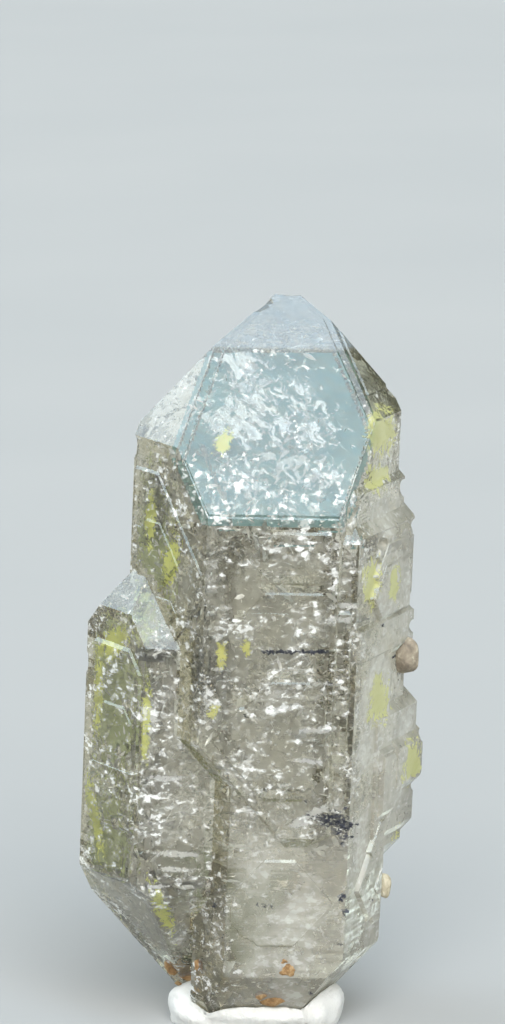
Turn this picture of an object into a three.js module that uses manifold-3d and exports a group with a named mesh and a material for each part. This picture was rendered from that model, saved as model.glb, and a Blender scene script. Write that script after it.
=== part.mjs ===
// Citrine crystal point: parallel-grown quartz prisms fused in one cluster, standing upright in a pad of pressed putty
import * as THREE from "three";
import { ConvexGeometry } from "three/addons/geometries/ConvexGeometry.js";
import { mergeVertices } from "three/addons/utils/BufferGeometryUtils.js";
import Module from "manifold-3d";

// Driving dimensions, all in millimetres or degrees
const LEAN_DEG = 2.3;
const TURN_DEG = 6.1;
const TIP_FACE_DEG = 38.2;
const FOOT_Z = 0.35;
const FLOOR_Z = -0.75;
const SEAT_GAP = 0.06;
const END_DROP = 0.12;
const SEED = 4127;

// Cluster frame: x to the right, y to the back, z along the common long axis
// Prism faces are numbered 0 front, 1 front right, 2 rear right, 3 back, 4 rear left, 5 front left
// sides: distance of each prism face from the cluster axis
// top, bottom: height at which each sloping end face would meet the cluster axis
const MAIN_POINT = {
  sides: [10.9, 8.6, 6.6, 7.2, 7.2, 10.3],
  top: [50.7, 53.9, 52.4, 50.8, 51.1, 54.2],
  bottom: [0.2, 3.0, 3.5, 2.0, 2.5, 7.6],
  facets: [{ turn: 30, pitch: -45, height: 3.2 }],
};
const LEFT_POINT = {
  sides: [8.65, 1.5, -1.5, 5.2, 9.9, 12.43],
  top: [38.0, 30.0, 29.5, 31.5, 40.1, 44.84],
  bottom: [-1.8, 2.0, 6.0, -1.0, -5.1, -5.9],
};
const LOWER_POINT = {
  sides: [10.3, 9.7, 5.0, 3.5, 0.9, 7.9],
  top: [41.0, 40.0, 36.0, 30.0, 26.0, 36.0],
  bottom: [-9.3, -7.3, -1.06, -2.0, -1.0, -8.6],
};
const RIGHT_LEDGES = [
  {
    sides: [9.9, 8.95, 7.1, 4.0, 2.0, 4.0],
    top: [50.2, 49.6, 47.3, 45.5, 44.0, 44.0],
    bottom: [20.0, 23.5, 24.0, 20.0, 18.0, 18.0],
  },
  {
    sides: [10.35, 9.6, 7.95, 5.0, 2.0, 4.0],
    top: [48.2, 47.5, 45.6, 43.0, 40.0, 40.0],
    bottom: [15.0, 16.4, 18.2, 16.0, 14.0, 14.0],
  },
  {
    sides: [10.55, 9.35, 7.75, 4.6, 2.0, 4.0],
    top: [43.5, 42.0, 40.0, 38.0, 36.0, 36.0],
    bottom: [6.0, 6.5, 8.0, 8.0, 8.0, 8.0],
  },
  {
    sides: [10.15, 9.85, 8.1, 5.6, 2.0, 4.0],
    top: [42.0, 41.2, 39.2, 37.0, 33.0, 33.0],
    bottom: [13.0, 14.0, 15.5, 14.0, 12.0, 12.0],
  },
];
const RIGHT_REAR = [
  {
    sides: [4.5, 10.35, 9.75, 8.2, 2.0, 2.0],
    top: [28.5, 32.2, 31.9, 29.5, 26.0, 26.0],
    bottom: [4.0, 3.1, 4.1, 4.5, 2.0, 2.0],
  },
  {
    sides: [6.8, 9.9, 9.2, 7.6, 2.0, 2.0],
    top: [32.5, 34.2, 33.4, 31.0, 26.0, 26.0],
    bottom: [1.0, 0.5, 1.0, 2.0, 0.0, 0.0],
  },
  {
    sides: [7.6, 9.35, 8.3, 6.6, 2.0, 2.0],
    top: [30.0, 30.5, 29.6, 28.0, 26.0, 26.0],
    bottom: [0.0, -0.2, 0.9, -0.6, 0.0, 0.0],
  },
];
const BACK_POINTS = [
  {
    sides: [2.0, 5.2, 8.2, 9.3, 6.4, 2.0],
    top: [36.0, 38.0, 41.8, 43.0, 40.6, 36.0],
    bottom: [2.0, 1.0, -1.0, -3.6, -2.0, 2.0],
  },
  {
    sides: [2.0, 2.0, 4.4, 8.4, 9.9, 8.4],
    top: [28.0, 28.0, 29.0, 31.8, 33.5, 33.0],
    bottom: [4.0, 4.0, 2.0, -1.0, -3.2, 0.0],
  },
];
// A growth plate raises one prism face of its parent by lift, between two heights of that face;
// side draws its other faces in, and cant sets how far its corners slant on either hand
const PLATES = [
  { parent: "left", face: 5, from: 14.6, to: 26.4, lift: 0.2, side: 0.3, cant: [1.2, 3.5] },
  { parent: "left", face: 4, from: 11.5, to: 22.2, lift: 0.3, side: 0.2, cant: [2.0, 0.8] },
  { parent: "left", face: 0, from: 17.6, to: 24.6, lift: 0.18, side: 0.3, cant: [1.5, 0.6] },
  { parent: "left", face: 4, from: 13.0, to: 18.0, lift: 0.5, side: 0.5, cant: [0.6, 1.2] },
  { parent: "main", face: 5, from: 24.8, to: 38.8, lift: 0.16, side: 0.3, cant: [0.8, 3.0] },
  { parent: "main", face: 5, from: 30.5, to: 35.4, lift: 0.28, side: 1.0, cant: [1.4, 0.4] },
  { parent: "main", face: 0, from: 17.0, to: 25.2, lift: 0.2, side: 0.35, cant: [2.2, 0.9] },
  { parent: "main", face: 0, from: 25.6, to: 30.2, lift: 0.14, side: 0.25, cant: [0.4, 2.6] },
  { parent: "main", face: 0, from: 32.4, to: 35.8, lift: 0.15, side: 0.4, cant: [3.4, 1.1] },
  { parent: "main", face: 3, from: 14.0, to: 37.0, lift: 0.3, side: 0.5, cant: [2.0, 1.0] },
  { parent: "main", face: 3, from: 24.0, to: 31.0, lift: 0.6, side: 1.2, cant: [1.0, 2.0] },
  { parent: "main", face: 4, from: 26.0, to: 38.0, lift: 0.25, side: 0.4, cant: [2.5, 1.0] },
  { parent: "main", face: 2, from: 34.0, to: 44.0, lift: 0.2, side: 0.4, cant: [1.0, 1.5] },
  { parent: "lower", face: 0, from: 6.2, to: 12.2, lift: 0.14, side: 0.3, cant: [1.8, 0.7] },
  { parent: "lower", face: 1, from: 6.8, to: 13.0, lift: 0.22, side: 0.3, cant: [0.8, 1.6] },
  { parent: "lower", face: 1, from: 8.2, to: 10.8, lift: 0.42, side: 0.6, cant: [0.6, 0.6] },
  { parent: "lower", face: 5, from: 5.4, to: 9.6, lift: 0.2, side: 0.3, cant: [1.0, 1.0] },
];
// Raised terraces on the two front tip faces, given by how far they stand proud
const TIP_TERRACES = [
  { lift: [0.16, -0.5, -0.5, -0.6, -0.6, -0.7], drop: 0.1, above: 36.5 },
  { lift: [-0.5, 0.2, -0.1, -0.8, -0.6, -0.6], drop: 0.1, above: 44.5 },
];
// Conchoidal chips: centre in the cluster frame, three radii, turn about the long axis
const CHIPS = [
  { at: [-2.0, -0.9, 50.3], size: [1.7, 1.0, 0.75], turn: 20 },
  { at: [-4.1, -1.5, 48.9], size: [1.3, 0.9, 0.55], turn: -25 },
  { at: [-6.4, -3.4, 46.8], size: [0.9, 0.7, 0.5], turn: 10 },
  { at: [4.0, -0.4, 49.9], size: [0.9, 0.8, 0.7], turn: -30 },
  { at: [0.9, 0.1, 51.1], size: [1.3, 0.6, 0.45], turn: 5 },
  { at: [8.4, -0.6, 44.4], size: [0.8, 0.7, 0.6], turn: 0 },
  { at: [-9.9, -4.2, 40.3], size: [0.5, 0.8, 0.9], turn: 15 },
  { at: [-12.7, -3.9, 24.6], size: [0.45, 0.7, 0.8], turn: 0 },
  { at: [10.6, -0.6, 29.3], size: [0.6, 0.9, 0.7], turn: 30 },
  { at: [-8.6, -9.9, 12.6], size: [0.8, 0.7, 0.6], turn: -20 },
  { at: [9.4, -4.0, 7.9], size: [0.55, 0.8, 0.7], turn: 10 },
  { at: [1.4, -11.5, 14.0], size: [0.9, 0.55, 0.5], turn: 0 },
  { at: [10.3, -0.5, 34.6], size: [0.7, 0.9, 0.6], turn: 20 },
  { at: [9.3, -1.1, 37.4], size: [0.6, 0.8, 0.7], turn: -15 },
  { at: [7.9, -6.2, 34.4], size: [0.7, 0.6, 0.5], turn: 30 },
  { at: [10.5, -0.9, 27.4], size: [0.5, 0.8, 0.5], turn: 10 },
  { at: [11.8, 0.7, 19.2], size: [0.6, 0.8, 0.6], turn: 0 },
  { at: [11.2, 0.9, 15.6], size: [0.6, 0.9, 0.6], turn: -20 },
  { at: [7.0, -10.0, 6.0], size: [0.8, 0.6, 0.7], turn: 35 },
  { at: [-12.3, -4.2, 8.6], size: [0.6, 0.8, 0.7], turn: 0 },
  { at: [-9.2, -9.2, 4.6], size: [0.8, 0.7, 0.6], turn: -30 },
];
const PAD_LUMPS = [
  { at: [0.2, -4.2, 0.2], size: [6.1, 4.6, 2.3] },
  { at: [-3.7, -4.7, 0.0], size: [2.1, 3.3, 1.75] },
  { at: [4.5, -5.6, 0.5], size: [2.1, 2.5, 1.95] },
  { at: [0.9, -6.6, -0.2], size: [4.4, 2.0, 1.1] },
  { at: [1.3, 0.6, 0.2], size: [4.4, 4.3, 2.1] },
];
const UPPER_GRAIN = { at: [11.0, -1.6, 25.0], size: [0.95, 0.95, 1.4] };
const LOWER_GRAIN = { at: [9.5, -3.4, 8.6], size: [0.5, 0.55, 0.95] };

const wasm = await Module();
wasm.setup();

function seededRandom(seed) {
  let state = seed >>> 0;
  return () => {
    state = (Math.imul(state, 1664525) + 1013904223) >>> 0;
    return state / 4294967296;
  };
}

function solidFrom(geometry) {
  const bare = geometry.clone();
  bare.deleteAttribute("normal");
  bare.deleteAttribute("uv");
  const merged = mergeVertices(bare, 1e-5);
  return new wasm.Manifold(
    new wasm.Mesh({
      numProp: 3,
      vertProperties: new Float32Array(merged.attributes.position.array),
      triVerts: new Uint32Array(merged.index.array),
    }),
  );
}

function geometryFrom(solid) {
  const mesh = solid.getMesh();
  const geometry = new THREE.BufferGeometry();
  const points = new Float32Array(mesh.numVert * 3);
  for (let i = 0; i < mesh.numVert; i++) {
    const start = i * mesh.numProp;
    points.set(mesh.vertProperties.subarray(start, start + 3), i * 3);
  }
  geometry.setAttribute("position", new THREE.BufferAttribute(points, 3));
  geometry.setIndex(new THREE.BufferAttribute(mesh.triVerts, 1));
  const flat = geometry.toNonIndexed();
  flat.computeVertexNormals();
  return flat;
}

// The outward direction of prism face k, turned on by the given degrees
function faceDirection(k, turn = 0) {
  const angle = THREE.MathUtils.degToRad(TURN_DEG + 60 * k + turn);
  return new THREE.Vector3(Math.sin(angle), -Math.cos(angle), 0);
}

// The plane of a sloping face that meets the long axis at the given height
function slopingPlane(direction, pitchDeg, height) {
  const pitch = THREE.MathUtils.degToRad(pitchDeg);
  const normal = direction.clone().multiplyScalar(Math.cos(pitch));
  normal.z = Math.sin(pitch);
  return { normal, distance: height * normal.z };
}

function planesOf(point) {
  const planes = [];
  for (let k = 0; k < 6; k++) {
    const out = faceDirection(k);
    planes.push({ normal: out, distance: point.sides[k] });
    planes.push(slopingPlane(out, TIP_FACE_DEG, point.top[k]));
    planes.push(slopingPlane(out, -TIP_FACE_DEG, point.bottom[k]));
  }
  for (const facet of point.facets ?? []) {
    const out = faceDirection(0, facet.turn);
    planes.push(slopingPlane(out, facet.pitch, facet.height));
  }
  for (const level of point.levels ?? []) {
    const normal = new THREE.Vector3(0, 0, level.up ? 1 : -1);
    planes.push({ normal, distance: level.up ? level.z : -level.z });
  }
  return planes;
}

// The convex body that lies inside every plane, grown outwards by the given amount
function bodyInside(planes, grow) {
  const corners = [];
  const seen = new Set();
  const matrix = new THREE.Matrix3();
  const inside = (p) =>
    planes.every((q) => q.normal.dot(p) <= q.distance + grow + 1e-6);
  for (let i = 0; i < planes.length; i++) {
    for (let j = i + 1; j < planes.length; j++) {
      for (let k = j + 1; k < planes.length; k++) {
        const [a, b, c] = [planes[i], planes[j], planes[k]];
        matrix.set(
          ...a.normal.toArray(),
          ...b.normal.toArray(),
          ...c.normal.toArray(),
        );
        if (Math.abs(matrix.determinant()) < 1e-6) continue;
        const corner = new THREE.Vector3(a.distance, b.distance, c.distance)
          .addScalar(grow)
          .applyMatrix3(matrix.invert());
        const key = corner
          .toArray()
          .map((v) => Math.round(v * 1000))
          .join();
        if (seen.has(key) || !inside(corner)) continue;
        seen.add(key);
        corners.push(corner);
      }
    }
  }
  return solidFrom(new ConvexGeometry(corners));
}

// A plate keeps its parent's other faces, drawn in, and is closed above and below by sloping faces
function plateOn(parent, plate) {
  const slope = 1 / Math.tan(THREE.MathUtils.degToRad(TIP_FACE_DEG));
  const sides = parent.sides.map((d, k) =>
    k === plate.face ? d + plate.lift : d - plate.side,
  );
  const reach = sides[plate.face] * slope;
  const top = [];
  const bottom = [];
  for (let k = 0; k < 6; k++) {
    const ahead = (k - plate.face + 6) % 6;
    let above = reach;
    let below = reach;
    if (ahead === 1 || ahead === 5) {
      const cant = plate.cant[ahead === 1 ? 0 : 1];
      above = 0.5 * reach + cant;
      below = 0.5 * reach + 0.7 * cant + 0.5;
    }
    top.push(Math.min(plate.to + above, parent.top[k] - END_DROP));
    bottom.push(Math.max(plate.from - below, parent.bottom[k] + END_DROP));
  }
  return { sides, top, bottom };
}

function terraceOn(parent, terrace) {
  return {
    sides: parent.sides.map((d) => d - terrace.drop),
    top: parent.top.map((h, k) => h + terrace.lift[k]),
    bottom: parent.bottom.map((h) => h + 1),
    levels: [{ up: false, z: terrace.above }],
  };
}

// Fine growth steps scattered over the prism faces by a seeded routine
function scatteredPlates(random) {
  const plates = [];
  const bands = [
    { parent: "main", face: 0, low: 17, high: 34, count: 5, lift: 0.1 },
    { parent: "main", face: 5, low: 24, high: 38, count: 4, lift: 0.14 },
    { parent: "main", face: 4, low: 22, high: 38, count: 3, lift: 0.2 },
    { parent: "main", face: 3, low: 12, high: 36, count: 4, lift: 0.25 },
    { parent: "left", face: 5, low: 13, high: 25, count: 4, lift: 0.22 },
    { parent: "left", face: 4, low: 12, high: 24, count: 3, lift: 0.3 },
    { parent: "lower", face: 0, low: 6, high: 13, count: 3, lift: 0.12 },
    { parent: "lower", face: 1, low: 5, high: 13, count: 3, lift: 0.3 },
    { parent: "ledge", face: 1, low: 27, high: 33, count: 3, lift: 0.24 },
    { parent: "ledge", face: 2, low: 27, high: 34, count: 3, lift: 0.2 },
    { parent: "shelf", face: 1, low: 18, high: 28, count: 4, lift: 0.3 },
    { parent: "shelf", face: 2, low: 20, high: 28, count: 3, lift: 0.25 },
    { parent: "rear", face: 1, low: 12, high: 20, count: 3, lift: 0.25 },
    { parent: "rear", face: 2, low: 11, high: 20, count: 3, lift: 0.25 },
  ];
  for (const band of bands) {
    for (let i = 0; i < band.count; i++) {
      const from = band.low + random() * (band.high - band.low) * 0.8;
      const to = from + 1.2 + random() * 3.2;
      const lift = band.lift * (0.6 + random());
      const side = 0.25 + random() * 0.9;
      const cant = [0.3 + 3 * random(), 0.3 + 3 * random()];
      const { parent, face } = band;
      plates.push({ parent, face, from, to, lift, side, cant });
    }
  }
  return plates;
}

function chipSolid(chip) {
  const geometry = new THREE.IcosahedronGeometry(1, 2);
  geometry.scale(...chip.size);
  geometry.rotateZ(THREE.MathUtils.degToRad(chip.turn));
  geometry.translate(...chip.at);
  return solidFrom(geometry);
}

function clusterSolid(grow) {
  const random = seededRandom(SEED);
  const parents = {
    main: MAIN_POINT,
    left: LEFT_POINT,
    lower: LOWER_POINT,
    ledge: RIGHT_LEDGES[1],
    shelf: RIGHT_LEDGES[3],
    rear: RIGHT_REAR[1],
  };
  const points = [
    MAIN_POINT,
    LEFT_POINT,
    LOWER_POINT,
    ...RIGHT_LEDGES,
    ...RIGHT_REAR,
    ...BACK_POINTS,
    ...[...PLATES, ...scatteredPlates(random)].map((plate) =>
      plateOn(parents[plate.parent], plate),
    ),
    ...TIP_TERRACES.map((terrace) => terraceOn(MAIN_POINT, terrace)),
  ];
  let solid = bodyInside(planesOf(points[0]), grow);
  for (const point of points.slice(1)) {
    solid = solid.add(bodyInside(planesOf(point), grow));
  }
  return solid;
}

// Everything below z in the finished frame, as a block
function blockBelow(z) {
  const geometry = new THREE.BoxGeometry(80, 80, 40);
  geometry.translate(0, 0, z - 20);
  return solidFrom(geometry);
}

function leaned(solid) {
  const geometry = geometryFrom(solid);
  geometry.rotateY(THREE.MathUtils.degToRad(LEAN_DEG));
  return solidFrom(geometry);
}

// A rounded lump with a kneaded surface
function lump(spec, detail, roughness, phase) {
  const geometry = mergeVertices(
    new THREE.IcosahedronGeometry(1, detail).deleteAttribute("uv").deleteAttribute("normal"),
    1e-5,
  );
  const position = geometry.attributes.position;
  const p = new THREE.Vector3();
  for (let i = 0; i < position.count; i++) {
    p.fromBufferAttribute(position, i);
    const wave =
      Math.sin(3.1 * p.x + phase) * Math.sin(2.7 * p.y - phase) +
      0.6 * Math.sin(5.3 * p.z + 2 * phase + 2.2 * p.x) +
      0.4 * Math.sin(7.9 * p.y + 4.1 * p.x + phase);
    p.multiplyScalar(1 + roughness * wave);
    position.setXYZ(i, p.x, p.y, p.z);
  }
  geometry.scale(...spec.size);
  geometry.translate(...spec.at);
  return solidFrom(geometry);
}

function finished(solid, name, color, roughness, shift) {
  const geometry = geometryFrom(solid);
  geometry.translate(...shift);
  const material = new THREE.MeshStandardMaterial({ color, roughness });
  const mesh = new THREE.Mesh(geometry, material);
  mesh.name = name;
  return mesh;
}

let crystal = clusterSolid(0);
for (const chip of CHIPS) crystal = crystal.subtract(chipSolid(chip));
crystal = leaned(crystal).subtract(blockBelow(FOOT_Z));

const seat = leaned(clusterSolid(SEAT_GAP)).subtract(
  blockBelow(FOOT_Z - SEAT_GAP),
);

let pad = lump(PAD_LUMPS[0], 6, 0.05, 0.4);
for (let i = 1; i < PAD_LUMPS.length; i++) {
  pad = pad.add(lump(PAD_LUMPS[i], 5, 0.06, 0.9 * i));
}
pad = pad.subtract(blockBelow(FLOOR_Z)).subtract(seat);

const upperGrain = lump(UPPER_GRAIN, 4, 0.09, 1.3).subtract(seat);
const lowerGrain = lump(LOWER_GRAIN, 3, 0.09, 2.1).subtract(seat);

// The largest of the bodies a cut leaves
function mainBody(solid) {
  return solid
    .decompose()
    .reduce((best, body) => (body.volume() > best.volume() ? body : best));
}

const pieces = [
  ["crystal", mainBody(crystal), 0xcfccb8, 0.15],
  ["putty_pad", mainBody(pad), 0xf2f2ee, 0.8],
  ["matrix_grain_upper", mainBody(upperGrain), 0x8c8170, 0.85],
  ["matrix_grain_lower", mainBody(lowerGrain), 0xb8ab8c, 0.85],
];

const extent = new THREE.Box3();
for (const [, solid] of pieces) {
  const box = solid.boundingBox();
  extent.expandByPoint(new THREE.Vector3(...box.min));
  extent.expandByPoint(new THREE.Vector3(...box.max));
}
const middle = extent.getCenter(new THREE.Vector3());
const shift = [-middle.x, -middle.y, -extent.min.z];

const part = new THREE.Group();
part.name = "citrine_crystal_point";
for (const [name, solid, color, roughness] of pieces) {
  part.add(finished(solid, name, color, roughness, shift));
}

export default part;
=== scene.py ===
"""Citrine crystal point: grown quartz with veils, glints, flecks and films, in a putty pad."""

import logging
import math
import random
from dataclasses import dataclass, field
from enum import Enum
from typing import Any, Callable, Iterable, Sequence

import bmesh
import bpy
from mathutils import Matrix, Vector, noise
from mathutils.bvhtree import BVHTree

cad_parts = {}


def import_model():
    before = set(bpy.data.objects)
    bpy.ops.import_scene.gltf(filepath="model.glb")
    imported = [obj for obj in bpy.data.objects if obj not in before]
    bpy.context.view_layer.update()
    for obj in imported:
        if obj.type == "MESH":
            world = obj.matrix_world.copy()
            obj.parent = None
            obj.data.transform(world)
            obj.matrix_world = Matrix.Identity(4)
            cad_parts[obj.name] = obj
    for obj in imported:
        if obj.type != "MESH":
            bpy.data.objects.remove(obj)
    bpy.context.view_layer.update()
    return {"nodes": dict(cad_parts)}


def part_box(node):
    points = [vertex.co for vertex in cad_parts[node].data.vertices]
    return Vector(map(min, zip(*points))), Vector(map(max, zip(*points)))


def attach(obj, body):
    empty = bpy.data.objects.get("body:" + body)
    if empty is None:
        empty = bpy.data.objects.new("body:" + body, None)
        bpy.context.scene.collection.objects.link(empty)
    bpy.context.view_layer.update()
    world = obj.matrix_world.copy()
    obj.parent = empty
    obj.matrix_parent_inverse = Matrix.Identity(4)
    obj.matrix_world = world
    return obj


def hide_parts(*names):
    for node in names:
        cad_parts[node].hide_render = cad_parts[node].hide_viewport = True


LOG = logging.getLogger("crystal")
MM = 0.001
LEAN = math.radians(2.3)
TURN = math.radians(6.1)
LONG_AXIS = Vector((math.sin(LEAN), 0.0, math.cos(LEAN)))
BODY = "root"
PICTURE_WIDE = 505
PICTURE_HIGH = 1024
SENSOR_MM = 36.0

# Where the parts of the cluster meet, in millimetres across and up.
TIP_BASE = 37.0
RIGHT_SIDE = 6.4
LOWER_TOP = 13.0
LOWER_SIDE = -3.6
LEFT_SIDE = -6.2
LEFT_FOOT = 20.0

Color = tuple[float, float, float, float]


class Region(Enum):
    """The parts of the cluster that hold different inclusions."""

    TIP = "tip"
    MAIN = "main"
    LEFT = "left"
    LOWER = "lower"
    RIGHT = "right"


# Shader wiring


@dataclass(frozen=True)
class Wire:
    """An output socket that takes part in Python arithmetic."""

    net: "Net"
    socket: bpy.types.NodeSocket

    def __add__(self, other: Any) -> "Wire":
        """Sum."""
        return self.net.math("ADD", self, other)

    __radd__ = __add__

    def __sub__(self, other: Any) -> "Wire":
        """Difference."""
        return self.net.math("SUBTRACT", self, other)

    def __rsub__(self, other: Any) -> "Wire":
        """Reflected difference."""
        return self.net.math("SUBTRACT", other, self)

    def __mul__(self, other: Any) -> "Wire":
        """Product."""
        return self.net.math("MULTIPLY", self, other)

    __rmul__ = __mul__

    def __abs__(self) -> "Wire":
        """Absolute value."""
        return self.net.math("ABSOLUTE", self)


class Net:
    """A node tree with one method that makes any node, and the few patterns that the finishes share."""

    def __init__(self, tree: bpy.types.NodeTree) -> None:
        """Starts from an empty tree.

        Args:
            tree: the tree to fill.
        """
        self.tree = tree
        tree.nodes.clear()

    def node(
        self,
        kind: str,
        settings: dict[str, Any] | None = None,
        inputs: dict[Any, Any] | None = None,
    ) -> bpy.types.Node:
        """Makes a node, sets it up, then sets or links its inputs.

        Args:
            kind: the node's type name.
            settings: properties by name, or "stops" for a ramp's list of position and colour.
            inputs: a value or a wire by socket name or index.

        Returns:
            The node.
        """
        made = self.tree.nodes.new(kind)
        for name, value in (settings or {}).items():
            if name == "stops":
                self._set_stops(made, value)
            else:
                setattr(made, name, value)
        for key, value in (inputs or {}).items():
            socket = made.inputs[key]
            if isinstance(value, Wire):
                self.tree.links.new(value.socket, socket)
            else:
                socket.default_value = value
        return made

    def wire(
        self,
        kind: str,
        settings: dict[str, Any] | None = None,
        inputs: dict[Any, Any] | None = None,
        output: Any = 0,
    ) -> Wire:
        """Makes a node and returns one of its outputs.

        Args:
            kind: the node's type name.
            settings: as for node.
            inputs: as for node.
            output: the output's name or index.

        Returns:
            The output as a wire.
        """
        return Wire(self, self.node(kind, settings, inputs).outputs[output])

    @staticmethod
    def _set_stops(made: bpy.types.Node, stops: Sequence[tuple[float, Color]]) -> None:
        """Fills a colour ramp.

        Args:
            made: the ramp node.
            stops: positions and colours in order.
        """
        elements = made.color_ramp.elements
        while len(elements) > 1:
            elements.remove(elements[-1])
        elements[0].position, elements[0].color = stops[0]
        for position, color in stops[1:]:
            elements.new(position).color = color

    def math(self, operation: str, a: Any, b: Any = 0.0) -> Wire:
        """One Math node on wires or numbers.

        Args:
            operation: the Math node's operation.
            a: first value.
            b: second value.

        Returns:
            The result.
        """
        return self.wire("ShaderNodeMath", {"operation": operation}, {0: a, 1: b})

    def growth(self) -> Wire:
        """Object coordinates in millimetres, turned so that Z runs along the crystals' common axis."""
        place = self.wire("ShaderNodeTexCoord", output="Object")
        return self.wire(
            "ShaderNodeMapping",
            {"vector_type": "POINT"},
            {"Vector": place, "Rotation": (0.0, -LEAN, -TURN), "Scale": (1000.0, 1000.0, 1000.0)},
        )

    def stretched(self, place: Wire, scale: tuple[float, float, float]) -> Wire:
        """Coordinates scaled differently along each axis.

        Args:
            place: the coordinates.
            scale: factor for each axis.

        Returns:
            The scaled coordinates.
        """
        return self.wire("ShaderNodeVectorMath", {"operation": "MULTIPLY"}, {0: place, 1: scale})

    def noise(
        self,
        place: Wire,
        scale: float,
        detail: float = 2.0,
        rough: float = 0.5,
        twist: float = 0.0,
    ) -> Wire:
        """Smooth noise between 0 and 1.

        Args:
            place: coordinates in millimetres.
            scale: features per millimetre.
            detail: octaves.
            rough: strength of the finer octaves.
            twist: distortion.

        Returns:
            The noise value.
        """
        return self.wire(
            "ShaderNodeTexNoise",
            {},
            {
                "Vector": place,
                "Scale": scale,
                "Detail": detail,
                "Roughness": rough,
                "Distortion": twist,
            },
        )

    def step(self, value: Wire, low: float, high: float) -> Wire:
        """Rises smoothly from 0 at low to 1 at high; falls where low is the larger.

        Args:
            value: what is compared.
            low: where the result is 0.
            high: where the result is 1.

        Returns:
            The clamped result.
        """
        return self.wire(
            "ShaderNodeMapRange",
            {"interpolation_type": "SMOOTHSTEP", "clamp": True},
            {"Value": value, "From Min": low, "From Max": high},
        )

    def blend(self, factor: Any, first: Any, second: Any) -> Wire:
        """Mixes two colours.

        Args:
            factor: 0 for the first, 1 for the second.
            first: a colour or wire.
            second: a colour or wire.

        Returns:
            The mixed colour.
        """
        return self.wire(
            "ShaderNodeMix",
            {"data_type": "RGBA"},
            {0: factor, 6: first, 7: second},
            output=2,
        )

    def bump(self, height: Wire, depth_mm: float) -> Wire:
        """A normal from a height between 0 and 1.

        Args:
            height: the height.
            depth_mm: what a height of 1 stands for.

        Returns:
            The normal.
        """
        return self.wire(
            "ShaderNodeBump",
            {},
            {"Height": height, "Distance": depth_mm * MM, "Strength": 1.0},
        )

    def reach(self) -> Wire:
        """How far out in its film a point lies, 0 in the middle and 1 at the rim."""
        return self.wire("ShaderNodeAttribute", {"attribute_name": "reach"}, output="Fac")

    def split(self, place: Wire) -> tuple[Wire, Wire, Wire]:
        """The three coordinates of a vector."""
        parts = self.node("ShaderNodeSeparateXYZ", {}, {0: place})
        return tuple(Wire(self, output) for output in parts.outputs)

    def surface(self, values: dict[str, Any]) -> Wire:
        """A Principled shader with the given sockets."""
        return self.wire("ShaderNodeBsdfPrincipled", {}, values)

    def mix(self, factor: Any, first: Wire, second: Wire) -> Wire:
        """Mixes two shaders by a factor."""
        return self.wire("ShaderNodeMixShader", {}, {0: factor, 1: first, 2: second})

    def output(self, surface: Wire, volume: Wire | None = None) -> None:
        """Ends the material.

        Args:
            surface: the surface shader.
            volume: the volume shader, where there is one.
        """
        inputs = {"Surface": surface}
        if volume:
            inputs["Volume"] = volume
        self.node("ShaderNodeOutputMaterial", {}, inputs)


def new_material(name: str) -> tuple[bpy.types.Material, Net]:
    """An empty node material.

    Args:
        name: its name.

    Returns:
        The material and its net.
    """
    material = bpy.data.materials.new(name)
    material.use_nodes = True
    return material, Net(material.node_tree)


# Finishes


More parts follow.
